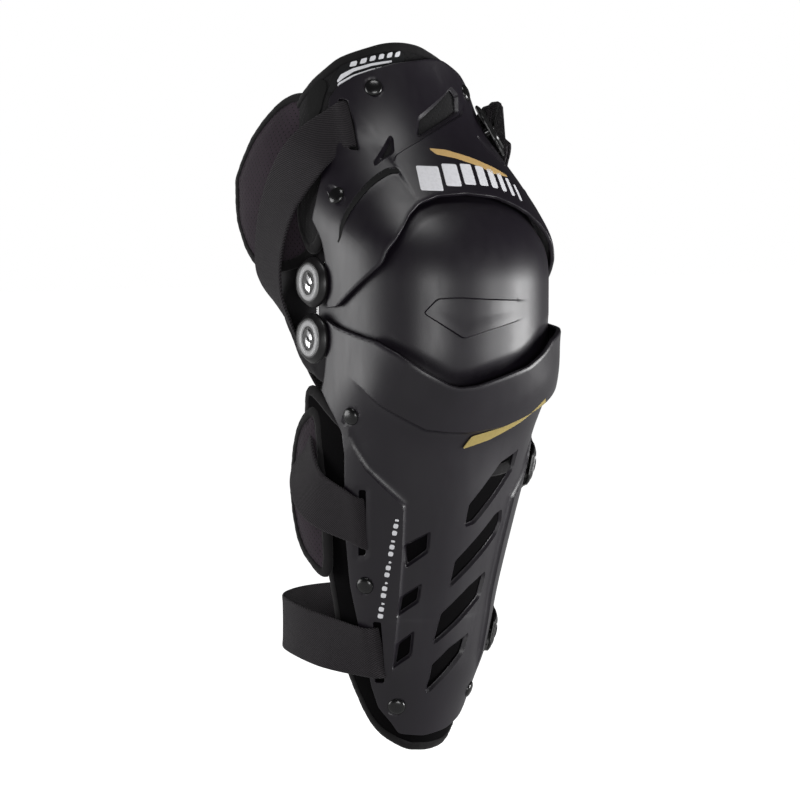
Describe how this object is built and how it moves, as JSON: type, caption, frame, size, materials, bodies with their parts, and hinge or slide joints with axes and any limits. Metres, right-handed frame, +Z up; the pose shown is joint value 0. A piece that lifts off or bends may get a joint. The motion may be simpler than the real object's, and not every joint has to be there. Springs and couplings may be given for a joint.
{
  "type": "motorcycle knee and shin guard",
  "caption": "Dual-pivot knee and shin guard: arched thigh shell, domed knee cup and vented shin shell over foam lining, with elastic straps on keyhole clips.",
  "frame": {"origin": "knee centre, midway between the upper and lower hinge axes, in the wearer's knee", "axes": "+Z up along the leg, -Y forward over the kneecap, X along the hinge axes"},
  "size_m": [0.2024, 0.2029, 0.489],
  "materials": {
    "shell_black": "satin moulded plastic",
    "cup_black": "smooth satin moulded plastic",
    "foam_black": "knit-covered foam",
    "mesh_grey": "perforated knit",
    "webbing_black": "woven elastic",
    "clip_black": "moulded plastic",
    "rivet_black": "moulded plastic",
    "cap_black": "satin moulded plastic",
    "badge_silver": "printed aluminium",
    "steel": "brushed",
    "nylon_white": "plain",
    "label_black": "printed rubber patch",
    "print_white": "print",
    "print_gold": "print",
    "binding_black": "woven binding tape"
  },
  "bodies": {
    "knee": {"knee_cup": "cup_black", "knee_pad": "foam_black", "pivot_pins": "steel", "thrust_washers": "nylon_white", "link_plate_left": "steel", "link_plate_right": "steel", "hinge_cushion_left": "foam_black", "hinge_cushion_right": "foam_black", "thigh_strap": "webbing_black", "calf_strap": "webbing_black"},
    "thigh": {"thigh_shell": "shell_black", "thigh_liner": "foam_black", "liner_label": "label_black", "thigh_rivets": "rivet_black", "thigh_post": "rivet_black", "upper_cap_left": "cap_black", "upper_cap_right": "cap_black", "upper_badge_left": "badge_silver", "upper_badge_right": "badge_silver", "upper_bushes": "nylon_white", "thigh_flap_left": "mesh_grey", "thigh_flap_right": "mesh_grey"},
    "shin": {"shin_shell": "shell_black", "shin_liner": "foam_black", "shin_rivets": "rivet_black", "calf_post": "rivet_black", "ankle_post": "rivet_black", "lower_cap_left": "cap_black", "lower_cap_right": "cap_black", "lower_badge_left": "badge_silver", "lower_badge_right": "badge_silver", "lower_bushes": "nylon_white", "calf_flap_left": "mesh_grey", "calf_flap_right": "mesh_grey", "ankle_strap": "webbing_black"},
    "thigh_hook": {"thigh_clip": "clip_black"},
    "calf_hook": {"calf_clip": "clip_black"},
    "ankle_hook": {"ankle_clip": "clip_black"}
  },
  "joints": [
    {"name": "thigh_hinge", "type": "hinge", "parent": "knee", "child": "thigh", "pos_m": [0, 0, 0.019], "axis": [-1, 0, 0], "range_deg": [-4, 45], "deforming": ["thigh_strap"]},
    {"name": "shin_hinge", "type": "hinge", "parent": "knee", "child": "shin", "pos_m": [0, 0, -0.019], "axis": [1, 0, 0], "range_deg": [-6, 45], "deforming": ["calf_strap"]},
    {"name": "thigh_clip_slide", "type": "slide", "parent": "thigh", "child": "thigh_hook", "axis": [-0.5923, -0.8057, 0], "range_m": [0, 0.007], "stiffness_N_per_m": 300},
    {"name": "calf_clip_slide", "type": "slide", "parent": "shin", "child": "calf_hook", "axis": [-0.4187, -0.9081, 0], "range_m": [0, 0.007], "stiffness_N_per_m": 300},
    {"name": "ankle_clip_slide", "type": "slide", "parent": "shin", "child": "ankle_hook", "axis": [-0.3925, -0.9198, 0], "range_m": [0, 0.007], "stiffness_N_per_m": 300}
  ]
}
